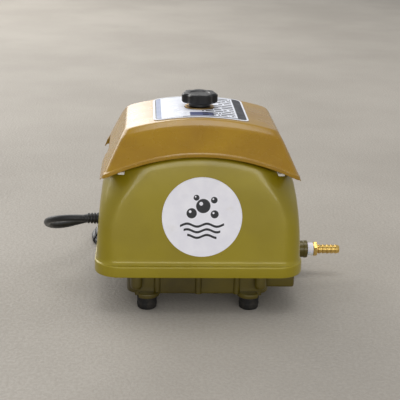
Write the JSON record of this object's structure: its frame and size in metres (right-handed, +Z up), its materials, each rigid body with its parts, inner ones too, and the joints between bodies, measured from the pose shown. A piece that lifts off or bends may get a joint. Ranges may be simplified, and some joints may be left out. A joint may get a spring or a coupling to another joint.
{
  "type": "pond air pump",
  "caption": "Linear diaphragm air pump with cast tank, leaning casing, arched filter cover held by a knob, rubber feet, brass hose barb and mains cord.",
  "frame": {"origin": "On the surface the feet stand on, below the middle of the pump's box measured without the loose cord, its coil and its plug.", "axes": "+X towards the air outlet, -Y towards the front with the round badge, +Z up."},
  "size_m": [0.3564, 0.3045, 0.2308],
  "materials": {
    "olive_paint": "glossy olive-green paint on die-cast aluminium",
    "tan_plastic": "glossy moulded tan plastic",
    "white_label": "printed white film label",
    "filter_felt": "needled synthetic felt",
    "natural_plastic": "natural engineering plastic",
    "black_plastic": "black moulded plastic and cord jacket",
    "steel": "zinc-plated steel",
    "black_rubber": "black rubber",
    "brass": "machined brass",
    "white_tape": "thread seal tape",
    "laminations": "stacked electrical steel",
    "copper": "enamelled copper wire",
    "ferrite": "ferrite magnet"
  },
  "bodies": {
    "casing": {"upper_housing": "olive_paint", "base_tank": "olive_paint", "front_badge": "white_label", "filter_felt": "filter_felt", "head_left": "natural_plastic", "head_right": "natural_plastic", "terminal_block": "natural_plastic", "strain_relief": "black_plastic", "inner_lead": "black_plastic", "power_cord": "black_plastic", "cord_coil": "black_plastic", "power_plug": "black_plastic", "tank_plate": "steel", "case_screw_front_left": "steel", "case_screw_rear_left": "steel", "case_screw_front_right": "steel", "case_screw_rear_right": "steel", "motor_frame": "steel", "head_cover_left": "steel", "head_cover_right": "steel", "tank_gasket": "black_rubber", "foot_front_left": "black_rubber", "foot_rear_left": "black_rubber", "foot_front_right": "black_rubber", "foot_rear_right": "black_rubber", "isolator_front_left": "black_rubber", "isolator_rear_left": "black_rubber", "isolator_front_right": "black_rubber", "isolator_rear_right": "black_rubber", "diaphragm_left": "black_rubber", "diaphragm_right": "black_rubber", "head_boot_left": "black_rubber", "head_boot_right": "black_rubber", "hose_barb": "brass", "thread_tape": "white_tape", "core_front": "laminations", "core_rear": "laminations", "coil_front": "copper", "coil_rear": "copper"},
    "cover": {"filter_cover": "tan_plastic", "rating_label": "white_label", "cover_pad_rear_left": "natural_plastic", "cover_pad_rear_right": "natural_plastic", "cover_pad_front_left": "natural_plastic", "cover_pad_front_right": "natural_plastic"},
    "knob_carrier": {"knob_washer": "steel"},
    "knob": {"cover_knob": "black_plastic", "knob_stud": "steel"},
    "armature": {"magnet_rod": "natural_plastic", "magnet_left": "ferrite", "magnet_right": "ferrite", "diaphragm_hub_left": "natural_plastic", "diaphragm_hub_right": "natural_plastic", "diaphragm_nut_left": "steel", "diaphragm_nut_right": "steel"},
    "inlet_flap_left": {"inlet_flap_left": "black_rubber"},
    "inlet_flap_right": {"inlet_flap_right": "black_rubber"},
    "outlet_flap_left": {"outlet_flap_left": "black_rubber"},
    "outlet_flap_right": {"outlet_flap_right": "black_rubber"}
  },
  "joints": [
    {"name": "cover_lift", "type": "slide", "parent": "casing", "child": "cover", "axis": [0, 0, 1], "range_m": [0, 0.08]},
    {"name": "knob_rise", "type": "slide", "parent": "cover", "child": "knob_carrier", "axis": [0, 0, 1], "range_m": [0, 0.0075]},
    {"name": "knob_turn", "type": "hinge", "parent": "knob_carrier", "child": "knob", "pos_m": [-0.0235, 0, 0.2236], "axis": [0, 0, 1], "range_deg": [0, 2160]},
    {"name": "armature_slide", "type": "slide", "parent": "casing", "child": "armature", "axis": [1, 0, 0], "range_m": [-0.003, 0.003], "stiffness_N_per_m": 2000},
    {"name": "inlet_flap_left_bend", "type": "hinge", "parent": "casing", "child": "inlet_flap_left", "pos_m": [-0.0892, 0, 0.1015], "axis": [0, 1, 0], "range_deg": [0, 20], "stiffness_Nm_per_rad": 0.0005},
    {"name": "inlet_flap_right_bend", "type": "hinge", "parent": "casing", "child": "inlet_flap_right", "pos_m": [0.0422, 0, 0.1015], "axis": [0, -1, 0], "range_deg": [0, 20], "stiffness_Nm_per_rad": 0.0005},
    {"name": "outlet_flap_left_bend", "type": "hinge", "parent": "casing", "child": "outlet_flap_left", "pos_m": [-0.0935, 0, 0.0865], "axis": [0, 1, 0], "range_deg": [0, 20], "stiffness_Nm_per_rad": 0.0005},
    {"name": "outlet_flap_right_bend", "type": "hinge", "parent": "casing", "child": "outlet_flap_right", "pos_m": [0.0465, 0, 0.0865], "axis": [0, -1, 0], "range_deg": [0, 20], "stiffness_Nm_per_rad": 0.0005}
  ],
  "couplings": [
    {"joint": "knob_rise", "follows": "knob_turn", "m_per_rad": 0.00019894}
  ]
}
